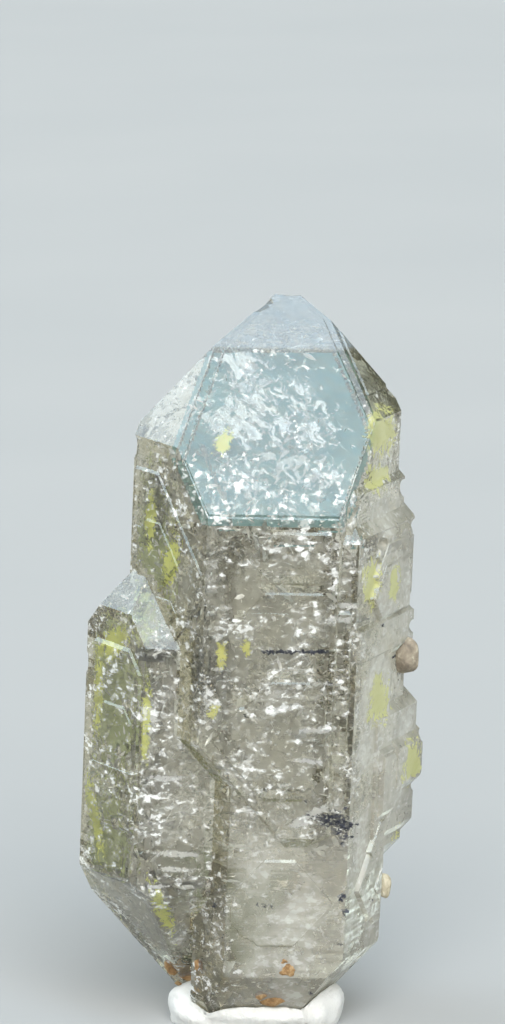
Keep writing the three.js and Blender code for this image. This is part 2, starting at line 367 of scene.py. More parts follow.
@dataclass(frozen=True)
class QuartzFinish:
    """Clear to milky quartz: striated prism faces, smooth tip faces and a faint smoky tint by depth."""

    ior: float = 1.544
    tint: Color = (0.985, 0.985, 0.965, 1.0)
    smoke: Color = (0.80, 0.74, 0.56, 1.0)
    smoke_density: float = 55.0
    milk: Color = (0.44, 0.43, 0.375, 1.0)

    def material(self) -> bpy.types.Material:
        """Builds the material."""
        made, net = new_material("quartz")
        grown = net.growth()
        x, _, z = net.split(grown)
        clouds = net.noise(grown, 0.33, 3.0, 0.55)
        cloud = net.noise(grown, 1.5, 3.0, 0.62)
        prism = net.step(self._slope(net), 0.45, 0.2)
        haze = self._haze(net, clouds, x, z)
        # painted glints: bright white crack marks mixed into the milky surface colour
        painted_glints = self._painted_glints(net, grown, clouds, z, prism) * (1.0 - haze * 0.45)
        normal = self._relief(net, grown, x, prism)
        clear = net.surface(
            {
                # the base colour holds painted shade on the left and right faces and a painted teal
                # reflection on the front tip
                "Base Color": self._tint_with_painted_shade(net, clouds, z),
                "Roughness": 0.01 + haze * 0.16,
                "IOR": self.ior,
                "Transmission Weight": 1.0,
                "Normal": normal,
            }
        )
        # painted sky reflection: the top of the tip faces is mixed towards bluish milky white
        painted_sky_top = net.step(z, 47.9, 48.3) * (1.0 - prism)
        milk = net.blend(cloud, self.milk, (0.62, 0.605, 0.545, 1.0))
        milk = net.blend(painted_sky_top, milk, (0.50, 0.60, 0.68, 1.0))
        milky = net.surface(
            {
                "Base Color": net.blend(painted_glints, milk, (0.96, 0.97, 0.96, 1.0)),
                "Roughness": 0.30 + cloud * 0.2,
                "IOR": self.ior,
                "Normal": normal,
            }
        )
        smoke = net.wire(
            "ShaderNodeVolumeAbsorption",
            {},
            {"Color": self.smoke, "Density": self.smoke_density},
        )
        cover = net.math("MAXIMUM", haze * 0.5, painted_glints * 0.74)
        cover = net.math("MAXIMUM", cover, painted_sky_top * (0.14 + cloud * 0.26))
        net.output(net.mix(cover, clear, milky), smoke)
        return made

    @staticmethod
    def _relief(net: Net, grown: Wire, x: Wire, prism: Wire) -> Wire:
        """Striations across the prism faces, slow ripples everywhere and lumps on the right.

        Args:
            net: the material's net.
            grown: growth coordinates.
            x: across.
            prism: 1 on the prism faces.

        Returns:
            The bumped normal.
        """
        lines = net.noise(net.stretched(grown, (0.14, 0.14, 1.5)), 1.0, 2.0, 0.5)
        lumps = net.noise(grown, 0.8, 2.0, 0.55)
        right = net.step(x, 5.6, 7.4)
        return net.bump(prism * lines * 0.9 + lumps * (0.5 + right * 2.0), 0.085)

    @staticmethod
    def _slope(net: Net) -> Wire:
        """How far a face leans from upright, 0 on the prism faces."""
        normal = net.wire("ShaderNodeNewGeometry", output="True Normal")
        return abs(
            net.wire(
                "ShaderNodeVectorMath",
                {"operation": "DOT_PRODUCT"},
                {0: normal, 1: tuple(LONG_AXIS)},
                output="Value",
            )
        )

    @staticmethod
    def _painted_glints(net: Net, grown: Wire, clouds: Wire, z: Wire, prism: Wire) -> Wire:
        """White cracks close under the faces, painted bright as glints: crumbs on the prism, feathers on
        the tip faces.

        Args:
            net: the material's net.
            grown: growth coordinates.
            clouds: slow noise that gathers them.
            z: along the axis.
            prism: 1 on the prism faces.

        Returns:
            0 where there are none, up to 1 in a crack.
        """
        _, _, up = net.split(net.wire("ShaderNodeNewGeometry", output="True Normal"))
        body = net.math("MAXIMUM", prism, net.step(up, -0.15, -0.35))
        leaned = net.wire(
            "ShaderNodeMapping",
            {"vector_type": "POINT"},
            {"Vector": grown, "Rotation": (0.0, math.radians(32.0), 0.0), "Scale": (2.1, 2.1, 0.42)},
        )
        place = net.wire(
            "ShaderNodeMix",
            {"data_type": "VECTOR"},
            {0: body, 4: leaned, 5: net.stretched(grown, (1.3, 1.3, 1.9))},
            output=1,
        )
        streaks = net.noise(place, 1.0, 5.0, 0.72, 0.25)
        cells = net.wire(
            "ShaderNodeTexVoronoi",
            {},
            {"Vector": net.stretched(grown, (2.3, 2.3, 3.4)), "Scale": 1.0},
            output="Color",
        )
        fine = net.step(net.split(cells)[0], 0.25, 0.85)
        foot = net.step(z, 43.0, 39.5) * net.step(z, 34.0, 36.5)
        top = net.step(z, 48.3, 47.9)
        gathered = streaks + (clouds - 0.5) * 0.55
        on_body = net.step(gathered, 0.49, 0.63) * body
        on_tip = net.step(gathered + foot * 0.09, 0.57, 0.70) * (1.0 - body) * top
        return (on_body + on_tip) * (0.25 + fine * 0.75)

    def _tint_with_painted_shade(self, net: Net, drift: Wire, z: Wire) -> Wire:
        """Painted shade in olive brown on the faces that look left and in dark olive grey on the right tip
        faces, a painted teal reflection on the front tip face, patchy grey elsewhere.
        """
        face = net.wire("ShaderNodeNewGeometry", output="True Normal")
        across, along, up = net.split(face)
        upright = net.step(abs(up), 0.4, 0.2)
        # painted shade: upright faces that look left turn olive brown in patches
        left = upright * net.step(across * -1.0, 0.35, 0.8) * net.step(drift, 0.25, 0.6)
        # painted shade: the tip faces that look right turn dark olive grey
        tip_right_painted_shade = (net.step(across, 0.25, 0.5) * net.step(up, 0.3, 0.5) * net.step(z, 36.0, 37.5))
        # painted reflection: the front tip face is tinted pale teal
        tip_front_painted_reflection = (
            net.step(along * -1.0, 0.45, 0.6)
            * net.step(up, 0.4, 0.6)
            * net.step(z, 48.4, 48.0)
        )
        shade = net.blend(net.step(drift, 0.42, 0.62), (0.89, 0.87, 0.79, 1.0), self.tint)
        shade = net.blend(left * 0.85, shade, (0.55, 0.50, 0.29, 1.0))
        shade = net.blend(tip_right_painted_shade * 0.9, shade, (0.40, 0.42, 0.30, 1.0))
        return net.blend(tip_front_painted_reflection * 0.5, shade, (0.78, 0.95, 0.95, 1.0))

    @staticmethod
    def _haze(net: Net, clouds: Wire, x: Wire, z: Wire) -> Wire:
        """Where the quartz is milky: the right-hand ledges and the lower point.

        Args:
            net: the material's net.
            clouds: slow noise.
            x: across.
            z: along the axis.

        Returns:
            0 where clear, 1 where milky.
        """
        drift = clouds * 5.0 - 2.5
        right = net.step(x + drift, 5.0, 7.2) * net.step(z + drift, 41.5, 37.0)
        lower = net.step(z + drift, 18.5, 12.0) * net.step(x + drift, -4.5, -1.0)
        patches = net.step(clouds, 0.42, 0.66)
        whole = net.math("MAXIMUM", right, lower * 0.9)
        return whole * (0.72 + patches * 0.28) + patches * 0.08


@dataclass(frozen=True)
class VeilFinish:
    """A healed fracture: a film of minute bubbles, open in patches."""

    name: str = "veil"
    color: Color = (0.86, 0.87, 0.84, 1.0)
    cover: float = 0.62
    grain: float = 5.5
    edge: tuple[float, float] = (0.50, 0.64)
    metal: float = 0.0
    rough: float = 0.4

    def material(self) -> bpy.types.Material:
        """Builds the material."""
        made, net = new_material(self.name)
        place = net.growth()
        patches = net.step(net.noise(place, 0.34, 4.0, 0.66, 0.8), *self.edge)
        specks = net.step(net.noise(place, self.grain, 2.0, 0.6), 0.40, 0.62)
        wisps = net.noise(net.stretched(place, (1.0, 1.0, 2.6)), 0.9, 4.0, 0.6, 1.2)
        rim = net.step(net.reach(), 1.0, 0.72)
        shade = net.blend(wisps, (*(c * 0.72 for c in self.color[:3]), 1.0), self.color)
        net.output(
            net.surface(
                {
                    "Base Color": shade,
                    "Metallic": self.metal,
                    "Roughness": self.rough + specks * 0.2,
                    "Alpha": patches * (0.25 + specks * 0.75) * self.cover * rim,
                }
            )
        )
        return made


@dataclass(frozen=True)
class FilmFinish:
    """A thin coloured film close under a face, with a frayed outline."""

    name: str
    inner: Color
    outer: Color
    cover: float = 0.85
    grain: float = 1.3
    open_at: tuple[float, float] = (0.36, 0.58)
    rough: float = 0.4

    def material(self) -> bpy.types.Material:
        """Builds the material."""
        made, net = new_material(self.name)
        place = net.growth()
        mottle = net.noise(place, self.grain, 6.0, 0.72, 1.4)
        reach = net.reach()
        body = net.step(mottle * 2.4 - 0.7 + (0.62 - reach) * 0.75, *self.open_at)
        net.output(
            net.surface(
                {
                    "Base Color": net.blend(mottle, self.inner, self.outer),
                    "Roughness": self.rough + mottle * 0.2,
                    "Alpha": body * self.cover,
                }
            )
        )
        return made


@dataclass(frozen=True)
class FeatherFinish:
    """Torn white streaks of tiny fluid inclusions, fine along one direction."""

    name: str
    color: Color = (0.97, 0.98, 0.99, 1.0)
    dark: Color = (0.75, 0.80, 0.82, 1.0)
    scale: tuple[float, float, float] = (1.5, 1.5, 0.5)
    lean_deg: float = 20.0
    open_at: tuple[float, float] = (0.50, 0.60)
    cover: float = 0.95
    metal: float = 0.2
    rough: float = 0.3
    shift: float = 0.0

    def material(self) -> bpy.types.Material:
        """Builds the material."""
        made, net = new_material(self.name)
        place = net.wire(
            "ShaderNodeMapping",
            {"vector_type": "POINT"},
            {
                "Vector": net.growth(),
                "Rotation": (0.0, math.radians(self.lean_deg), 0.0),
                "Location": (self.shift, self.shift * 0.7, 0.0),
            },
        )
        streaks = net.noise(net.stretched(place, self.scale), 1.0, 5.0, 0.68, 0.9)
        clouds = net.noise(place, 0.36, 2.0, 0.5)
        fine = net.noise(place, 4.5, 3.0, 0.65)
        reach = net.reach()
        torn = net.step(
            streaks + (clouds - 0.5) * 0.45 - net.step(reach, 0.6, 1.1) * 0.3,
            *self.open_at,
        )
        net.output(
            net.surface(
                {
                    "Base Color": net.blend(fine, self.dark, self.color),
                    "Metallic": self.metal,
                    "Roughness": self.rough + fine * 0.25,
                    "Alpha": torn * (0.35 + fine * 0.9) * self.cover,
                }
            )
        )
        return made


@dataclass(frozen=True)
class GlintFinish:
    """The mirror-bright wall of a small internal crack."""

    name: str = "glint"
    bright: Color = (0.98, 0.985, 0.99, 1.0)
    dull: Color = (0.88, 0.88, 0.85, 1.0)
    metal: float = 0.85
    rough: float = 0.12

    def material(self) -> bpy.types.Material:
        """Builds the material."""
        made, net = new_material(self.name)
        place = net.growth()
        tone = net.step(net.noise(place, 0.8, 3.0, 0.6), 0.35, 0.65)
        fine = net.noise(place, 6.0, 2.0, 0.6)
        net.output(
            net.surface(
                {
                    "Base Color": net.blend(tone, self.dull, self.bright),
                    "Metallic": self.metal,
                    "Roughness": self.rough + fine * 0.3,
                }
            )
        )
        return made


@dataclass(frozen=True)
class GrainFinish:
    """An opaque earthy or bituminous solid, mottled, rough and pitted."""

    name: str
    stops: Sequence[tuple[float, Color]]
    grain: float = 2.4
    rough: tuple[float, float] = (0.6, 0.9)
    pit_mm: float = 0.12

    def material(self) -> bpy.types.Material:
        """Builds the material."""
        made, net = new_material(self.name)
        place = net.growth()
        mottle = net.noise(place, self.grain, 5.0, 0.65, 0.3)
        fine = net.noise(place, self.grain * 4.0, 3.0, 0.7)
        low, high = self.rough
        net.output(
            net.surface(
                {
                    "Base Color": net.wire("ShaderNodeValToRGB", {"stops": self.stops}, {0: mottle}),
                    "Roughness": low + fine * (high - low),
                    "Normal": net.bump(mottle * 0.6 + fine * 0.4, self.pit_mm),
                }
            )
        )
        return made


@dataclass(frozen=True)
class PuttyFinish:
    """Soft white mounting putty with thumbed folds and a slight sheen."""

    def material(self) -> bpy.types.Material:
        """Builds the material."""
        made, net = new_material("putty")
        place = net.growth()
        folds = net.noise(place, 0.7, 4.0, 0.55, 1.2)
        fine = net.noise(place, 6.5, 3.0, 0.6)
        dirt = net.step(net.noise(place, 1.9, 5.0, 0.7), 0.60, 0.74)
        # painted shade: the putty is darker in the low parts of its folds, with the same noise that bumps
        # it
        putty_tone_with_painted_crease_shade = net.blend(folds, (0.68, 0.69, 0.68, 1.0), (0.78, 0.78, 0.765, 1.0))
        net.output(
            net.surface(
                {
                    "Base Color": net.blend(dirt * 0.35, putty_tone_with_painted_crease_shade, (0.62, 0.57, 0.47, 1.0)),
                    "Roughness": 0.48 + fine * 0.25,
                    "Subsurface Weight": 0.15,
                    "Subsurface Radius": (0.8 * MM, 0.7 * MM, 0.6 * MM),
                    "Normal": net.bump(folds * 0.7 + fine * 0.14, 0.35),
                }
            )
        )
        return made


@dataclass(frozen=True)
class FloorFinish:
    """The pale studio floor."""

    def material(self) -> bpy.types.Material:
        """Builds the material."""
        made, net = new_material("studio_floor")
        place = net.growth()
        mottle = net.noise(place, 0.02, 2.0, 0.5)
        net.output(
            net.surface(
                {
                    "Base Color": net.blend(
                        mottle, (0.38, 0.385, 0.385, 1.0), (0.42, 0.42, 0.415, 1.0)
                    ),
                    "Roughness": 0.7,
                }
            )
        )
        return made


# Mesh helpers


def linked(name: str, data: bpy.types.ID) -> bpy.types.Object:
    """Makes an object of some data and links it to the scene."""
    made = bpy.data.objects.new(name, data)
    bpy.context.scene.collection.objects.link(made)
    return made


def mesh_object(
    name: str,
    verts: Sequence[Sequence[float]],
    faces: Sequence[Sequence[int]],
    material: bpy.types.Material | None = None,
    smooth: bool = True,
) -> bpy.types.Object:
    """Makes a linked mesh object at the origin.

    Args:
        name: the object's name.
        verts: vertices in metres.
        faces: vertex indices of each face.
        material: its material.
        smooth: whether its faces are shaded smooth.

    Returns:
        The object.
    """
    data = bpy.data.meshes.new(name)
    data.from_pydata([tuple(v) for v in verts], [], [tuple(f) for f in faces])
    data.polygons.foreach_set("use_smooth", [smooth] * len(data.polygons))
    data.update()
    if material:
        data.materials.append(material)
    return linked(name, data)


def set_attribute(made: bpy.types.Object, name: str, values: Sequence[float]) -> None:
    """Stores one number per vertex."""
    layer = made.data.attributes.new(name, "FLOAT", "POINT")
    layer.data.foreach_set("value", list(values))


def settle(made: bpy.types.Object, name: str) -> bpy.types.Object:
    """Turns an object with modifiers into a plain mesh object.

    Args:
        made: the object, which is removed.
        name: the new object's name.

    Returns:
        The plain object.
    """
    graph = bpy.context.evaluated_depsgraph_get()
    data = bpy.data.meshes.new_from_object(made.evaluated_get(graph))
    plain = linked(name, data)
    bpy.data.objects.remove(made)
    data.name = name
    return plain


def merged_copy(node: bpy.types.Object, flat_deg: float) -> bmesh.types.BMesh:
    """A joined copy of a CAD node's loose triangles, with its flat faces whole.

    Args:
        node: the CAD object.
        flat_deg: faces closer than this in angle become one.

    Returns:
        The copy, which the caller frees.
    """
    copy = bmesh.new()
    copy.from_mesh(node.data)
    bmesh.ops.remove_doubles(copy, verts=copy.verts, dist=2e-6)
    if flat_deg:
        bmesh.ops.dissolve_limit(
            copy,
            angle_limit=math.radians(flat_deg),
            verts=copy.verts,
            edges=copy.edges,
        )
    return copy


class Interior:
    """Answers where the crystal's surface and inside are."""

    def __init__(self, node: bpy.types.Object, camera: bpy.types.Object) -> None:
        """Reads the crystal.

        Args:
            node: the crystal's CAD object.
            camera: the front camera.
        """
        copy = merged_copy(node, 0.0)
        self.tree = BVHTree.FromBMesh(copy)
        copy.free()
        self.low, self.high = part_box("crystal")
        self.eye = camera.location.copy()
        self.turn = camera.rotation_euler.to_matrix()
        self.spread = SENSOR_MM / camera.data.lens / PICTURE_HIGH

    def holds(self, point: Vector, margin: float) -> bool:
        """Whether a point is inside and at least margin metres deep."""
        place, normal, _, distance = self.tree.find_nearest(point)
        if place is None or distance < margin or (point - place).dot(normal) > 0:
            return False
        return self._crossings(point) % 2 == 1

    def _crossings(self, point: Vector) -> int:
        """How often a ray towards the viewer crosses the surface."""
        ahead = Vector((0.031, -1.0, 0.017)).normalized()
        start, count = point.copy(), 0
        while count < 40:
            hit, _, _, _ = self.tree.ray_cast(start, ahead)
            if hit is None:
                return count
            count += 1
            start = hit + ahead * 1e-6
        return count

    def seen(self, across: float, down: float) -> tuple[Vector, Vector] | None:
        """The surface point and normal that the front view shows at a place in the picture.

        Args:
            across: distance from the picture's left side.
            down: distance from its top.

        Returns:
            Point and outward normal, or None beside the crystal.
        """
        right = (across - PICTURE_WIDE / 2) * self.spread
        up = (PICTURE_HIGH / 2 - down) * self.spread
        look = Vector((right, up, -1.0))
        ray = (self.turn @ look).normalized()
        hit, normal, _, _ = self.tree.ray_cast(self.eye, ray)
        if hit is None:
            return None
        return hit, normal

    def region(self, point: Vector) -> Region:
        """Which part of the cluster a point is in."""
        x, z = point.x / MM, point.z / MM
        if z > TIP_BASE:
            return Region.TIP
        if x > RIGHT_SIDE:
            return Region.RIGHT
        if z < LOWER_TOP and x > LOWER_SIDE:
            return Region.LOWER
        if x < LEFT_SIDE or (x < LOWER_SIDE and z < LEFT_FOOT):
            return Region.LEFT
        return Region.MAIN

    def sample(self, rng: random.Random, margin: float) -> Vector:
        """A random point inside.

        Args:
            rng: the random source.
            margin: least depth in metres.

        Returns:
            The point.
        """
        while True:
            point = Vector([rng.uniform(lo, hi) for lo, hi in zip(self.low, self.high)])
            if self.holds(point, margin):
                return point


# Geometry Nodes


class Scatter:
    """A Geometry Nodes tree that puts an irregular flake on every point it is given."""

    def __init__(self, name: str, corners: int, ragged: float) -> None:
        """Builds the tree.

        Args:
            name: the tree's name.
            corners: corners of one flake, or 0 for a small ball.
            ragged: how far a corner may move, as a share of the radius.
        """
        self.tree = bpy.data.node_groups.new(name, "GeometryNodeTree")
        face = self.tree.interface
        face.new_socket("Geometry", in_out="INPUT", socket_type="NodeSocketGeometry")
        for title, kind in (
            ("Flake size", "NodeSocketFloat"),
            ("Thinnest stretch", "NodeSocketFloat"),
            ("Seed", "NodeSocketInt"),
            ("Finish", "NodeSocketMaterial"),
        ):
            face.new_socket(title, in_out="INPUT", socket_type=kind)
        face.new_socket("Geometry", in_out="OUTPUT", socket_type="NodeSocketGeometry")
        self.net = Net(self.tree)
        self._wire_up(corners, ragged)

    def _flake(self, corners: int, ragged: float, seed: int) -> Wire:
        """One flake or ball of radius 1.

        Args:
            corners: number of corners, or 0 for a ball.
            ragged: how far corners move.
            seed: its own seed.

        Returns:
            The mesh.
        """
        net = self.net
        if not corners:
            return net.wire("GeometryNodeMeshIcoSphere", {}, {"Radius": 1.0, "Subdivisions": 1})
        disc = net.wire(
            "GeometryNodeMeshCircle",
            {"fill_type": "TRIANGLE_FAN"},
            {"Vertices": corners, "Radius": 1.0},
        )
        shove = net.wire(
            "FunctionNodeRandomValue",
            {"data_type": "FLOAT_VECTOR"},
            {0: (-ragged, -ragged, -0.22), 1: (ragged, ragged, 0.22), "Seed": seed},
        )
        return net.wire("GeometryNodeSetPosition", {}, {"Geometry": disc, "Offset": shove})

    def _wire_up(self, corners: int, ragged: float) -> None:
        """Joins the tree from points to realized flakes.

        Args:
            corners: corners of one flake, or 0 for a ball.
            ragged: how far corners move.
        """
        net = self.net
        given = net.node("NodeGroupInput")

        def take(title: str) -> Wire:
            """One of the tree's named inputs."""
            return Wire(net, given.outputs[title])

        shapes = net.node("GeometryNodeGeometryToInstance")
        for seed in range(1 if not corners else 5):
            flake = self._flake(corners, ragged, seed)
            self.tree.links.new(flake.socket, shapes.inputs[0])
        seed = take("Seed")
        lengths = net.wire(
            "FunctionNodeRandomValue",
            {"data_type": "FLOAT_VECTOR"},
            {0: (0.55, 0.3, 0.5), 1: (1.5, 1.0, 1.0), "Seed": seed},
        )
        own = net.wire("GeometryNodeInputNamedAttribute", {"data_type": "FLOAT"}, {0: "span"})
        sized = net.wire(
            "ShaderNodeVectorMath",
            {"operation": "SCALE"},
            {0: lengths, "Scale": own * take("Flake size")},
        )
        slim = net.wire(
            "ShaderNodeVectorMath",
            {"operation": "MULTIPLY"},
            {
                0: sized,
                1: net.wire("ShaderNodeCombineXYZ", {}, {0: 1.0, 1: take("Thinnest stretch"), 2: 1.0}),
            },
        )
        spin = net.wire("GeometryNodeInputNamedAttribute", {"data_type": "FLOAT_VECTOR"}, {0: "spin"})
        placed = net.wire(
            "GeometryNodeInstanceOnPoints",
            {},
            {
                "Points": take("Geometry"),
                "Instance": Wire(net, shapes.outputs[0]),
                "Pick Instance": True,
                "Rotation": spin,
                "Scale": slim if corners else sized,
            },
        )
        real = net.wire("GeometryNodeRealizeInstances", {}, {"Geometry": placed})
        dressed = net.wire(
            "GeometryNodeSetMaterial",
            {},
            {"Geometry": real, "Material": take("Finish")},
        )
        net.node("NodeGroupOutput", {}, {0: dressed})

    def grow(
        self,
        name: str,
        points: Sequence[Vector],
        spans: Sequence[float],
        spins: Sequence[tuple[float, float, float]],
        values: dict[str, Any],
        smooth: bool = False,
    ) -> bpy.types.Object:
        """Runs the tree on points.

        Args:
            name: the piece's name.
            points: places in metres.
            spans: radius of each flake in metres, before Flake size.
            spins: rotation of each flake.
            values: the tree's named inputs.
            smooth: whether the result is shaded smooth.

        Returns:
            The finished plain object.
        """
        seedbed = mesh_object(name + "_points", points, [])
        set_attribute(seedbed, "span", spans)
        layer = seedbed.data.attributes.new("spin", "FLOAT_VECTOR", "POINT")
        layer.data.foreach_set("vector", [c for spin in spins for c in spin])
        modifier = seedbed.modifiers.new("scatter", "NODES")
        modifier.node_group = self.tree
        for item in self.tree.interface.items_tree:
            if item.in_out == "INPUT" and item.name in values:
                modifier[item.identifier] = values[item.name]
        made = settle(seedbed, name)
        made.data.polygons.foreach_set("use_smooth", [smooth] * len(made.data.polygons))
        for spare in ("span", "spin"):
            if spare in made.data.attributes:
                made.data.attributes.remove(made.data.attributes[spare])
        return made


# Sub-assemblies


@dataclass
class CrystalShell:
    """The outer quartz: the solid's faces with worn edges."""

    node: bpy.types.Object
    edge_mm: float = 0.07
    least_edge_mm: float = 0.35
    flat_deg: float = 1.2
    sharp_deg: float = 14.0
    finish: QuartzFinish = field(default_factory=QuartzFinish)

    def build(self) -> bpy.types.Object:
        """Bevels the real edges of a merged copy and dresses it."""
        copy = merged_copy(self.node, self.flat_deg)
        sharp = [edge for edge in copy.edges if self._takes_wear(edge)]
        bmesh.ops.bevel(
            copy,
            geom=sharp,
            offset=self.edge_mm * MM,
            offset_type="OFFSET",
            segments=2,
            profile=0.5,
            affect="EDGES",
            clamp_overlap=True,
        )
        bmesh.ops.triangulate(copy, faces=copy.faces)
        data = bpy.data.meshes.new("quartz_cluster")
        copy.to_mesh(data)
        copy.free()
        data.materials.append(self.finish.material())
        return linked("quartz_cluster", data)

    def _takes_wear(self, edge: bmesh.types.BMEdge) -> bool:
        """Whether an edge is sharp and long enough to be worn round."""
        if len(edge.link_faces) != 2 or edge.calc_length() < self.least_edge_mm * MM:
            return False
        return edge.calc_face_angle(0.0) > math.radians(self.sharp_deg)


@dataclass
class Veils:
    """Healed fractures: crinkled sheets through the crystals."""

    inside: Interior
    seed: int = 21
    per_region: dict[Region, int] = field(
        default_factory=lambda: {
            Region.TIP: 5,
            Region.MAIN: 8,
            Region.LEFT: 5,
            Region.LOWER: 3,
            Region.RIGHT: 3,
        }
    )
    cells: int = 26

    def build(self) -> list[bpy.types.Object]:
        """Grows the sheets, joined into one piece for each finish."""
        rng = random.Random(self.seed)
        sheets: dict[str, tuple[list, list, list]] = {
            "veils_soft": ([], [], []),
            "veils_bright": ([], [], []),
        }
        wanted = dict(self.per_region)
        tries = 0
        while any(wanted.values()) and tries < 4000:
            tries += 1
            centre = self.inside.sample(rng, 1.2 * MM)
            region = self.inside.region(centre)
            if not wanted.get(region):
                continue
            wanted[region] -= 1
            key = "veils_bright" if rng.random() < 0.4 else "veils_soft"
            self._sheet(rng, centre, region, sheets[key])
        finishes = {
            "veils_soft": VeilFinish("veil_soft"),
            "veils_bright": VeilFinish(
                "veil_bright", (0.96, 0.97, 0.96, 1.0), 0.85, 3.4, (0.5, 0.62), 0.5, 0.2
            ),
        }
        made = []
        for key, (verts, faces, reach) in sheets.items():
            piece = mesh_object(key, verts, faces, finishes[key].material())
            set_attribute(piece, "reach", reach)
            made.append(piece)
        return made

    def _sheet(
        self,
        rng: random.Random,
        centre: Vector,
        region: Region,
        into: tuple[list, list, list],
    ) -> None:
        """Adds one sheet, cut where it would leave the crystal.

        Args:
            rng: the random source.
            centre: its middle.
            region: where it is.
            into: vertices, faces and reach that it is added to.
        """
        size = {Region.TIP: 7.0, Region.MAIN: 8.0, Region.LEFT: 5.5}.get(region, 4.5)
        long, wide = (rng.uniform(0.55, 1.0) * size * MM, rng.uniform(0.35, 0.8) * size * MM)
        normal = Vector((rng.gauss(0, 0.7), rng.gauss(-0.9, 0.7), rng.gauss(0, 0.8))).normalized()
        turn = (
            normal.to_track_quat("Z", "Y").to_matrix()
            @ Matrix.Rotation(rng.uniform(0, math.pi), 3, "Z")
        )
        phase = rng.uniform(0, 50)
        verts, faces, reach = into
        index: dict[tuple[int, int], int] = {}
        n = self.cells
        for i in range(n + 1):
            for j in range(n + 1):
                u, v = 2 * i / n - 1, 2 * j / n - 1
                away = math.hypot(u, v)
                if away > 1.0:
                    continue
                crinkle = noise.fractal(Vector((u * 1.7 + phase, v * 1.7, phase)), 1.0, 2.0, 3)
                point = centre + turn @ Vector((u * long, v * wide, 0.16 * size * MM * crinkle))
                if self.inside.holds(point, 0.12 * MM):
                    index[i, j] = len(verts)
                    verts.append(point)
                    reach.append(away)
        for i in range(n):
            for j in range(n):
                ring = [(i, j), (i + 1, j), (i + 1, j + 1), (i, j + 1)]
                if all(corner in index for corner in ring):
                    faces.append([index[corner] for corner in ring])


@dataclass
class Glints:
    """Small bright cracks, slivers and bubbles scattered through the quartz."""

    inside: Interior
    seed: int = 5

    def build(self) -> list[bpy.types.Object]:
        """Scatters each kind of glint."""
        flakes = Scatter("flake_scatter", 6, 0.35)
        balls = Scatter("bubble_scatter", 0, 0.0)
        made = []
        kinds: list[tuple[str, Scatter, int, float, float, Callable, GlintFinish]] = [
            ("glint_flakes", flakes, 5000, 0.36, 0.6, self._busy, GlintFinish(metal=0.15, rough=0.2)),
            (
                "glint_slivers",
                flakes,
                1900,
                0.55,
                0.14,
                self._busy,
                GlintFinish("sliver", metal=0.4, rough=0.12),
            ),
            (
                "crack_plates",
                flakes,
                420,
                0.8,
                0.5,
                self._busy,
                GlintFinish(
                    "crack_plate",
                    (0.92, 0.94, 0.93, 1.0),
                    (0.74, 0.76, 0.74, 1.0),
                    0.35,
                    0.25,
                ),
            ),
            (
                "bubbles",
                balls,
                1300,
                0.055,
                1.0,
                self._bubbly,
                GlintFinish("bubble", metal=0.4, rough=0.2),
            ),
        ]
        for number, (name, tree, count, span, slim, chance, finish) in enumerate(kinds):
            made.append(self._scatter(name, tree, count, span, slim, chance, finish, number))
        return made

    def _scatter(
        self,
        name: str,
        tree: Scatter,
        count: int,
        span: float,
        slim: float,
        chance: Callable[[Vector], float],
        finish: GlintFinish,
        number: int,
    ) -> bpy.types.Object:
        """Scatters one kind.

        Args:
            name: the piece's name.
            tree: the tree that places them.
            count: how many.
            span: largest radius in millimetres.
            slim: how narrow they are.
            chance: how likely a place is to hold one.
            finish: its finish.
            number: which kind it is, for the seed.

        Returns:
            The piece.
        """
        rng = random.Random(self.seed * 100 + number)
        points, spans, spins = [], [], []
        while len(points) < count:
            size = span * MM * (0.25 + 0.75 * rng.random() ** 2.2)
            point = self.inside.sample(rng, 1.75 * size + 0.05 * MM)
            if rng.random() > chance(point):
                continue
            points.append(point)
            spans.append(size)
            spins.append(
                (
                    rng.gauss(math.pi / 2, 0.8),
                    rng.gauss(0, 0.6),
                    rng.uniform(-math.pi, math.pi)
                    if rng.random() < 0.5
                    else rng.gauss(0, 0.4),
                )
            )
        return tree.grow(
            name,
            points,
            spans,
            spins,
            {
                "Flake size": 1.0,
                "Thinnest stretch": slim,
                "Seed": self.seed + number,
                "Finish": finish.material(),
            },
            smooth=not slim < 1.0,
        )

    def _busy(self, point: Vector) -> float:
        """More glints in the main and left points, in clouds, and near the front."""
        base = {
            Region.TIP: 0.4,
            Region.MAIN: 0.95,
            Region.LEFT: 0.85,
            Region.LOWER: 0.22,
            Region.RIGHT: 0.35,
        }[self.inside.region(point)]
        cloud = 0.5 + 0.9 * noise.noise(point / (2.6 * MM))
        _, normal, _, deep = self.inside.tree.find_nearest(point)
        front = 1.0 if normal.y < 0.1 else 0.3
        shallow = 1.0 if deep < 2.6 * MM else 0.3
        return base * max(cloud, 0.05) * front * shallow

    def _bubbly(self, point: Vector) -> float:
        """Bubbles fill the milky lower and right parts."""
        return {
            Region.LOWER: 1.0,
            Region.RIGHT: 0.6,
            Region.LEFT: 0.25,
        }.get(self.inside.region(point), 0.15)


@dataclass(frozen=True)
class Inlay:
    """A film under the face at one place of the front view."""

    across: tuple[float, float]
    down: tuple[float, float]
    depth_mm: float = 0.35
    turn_deg: float = 0.0
    one_face: bool = False


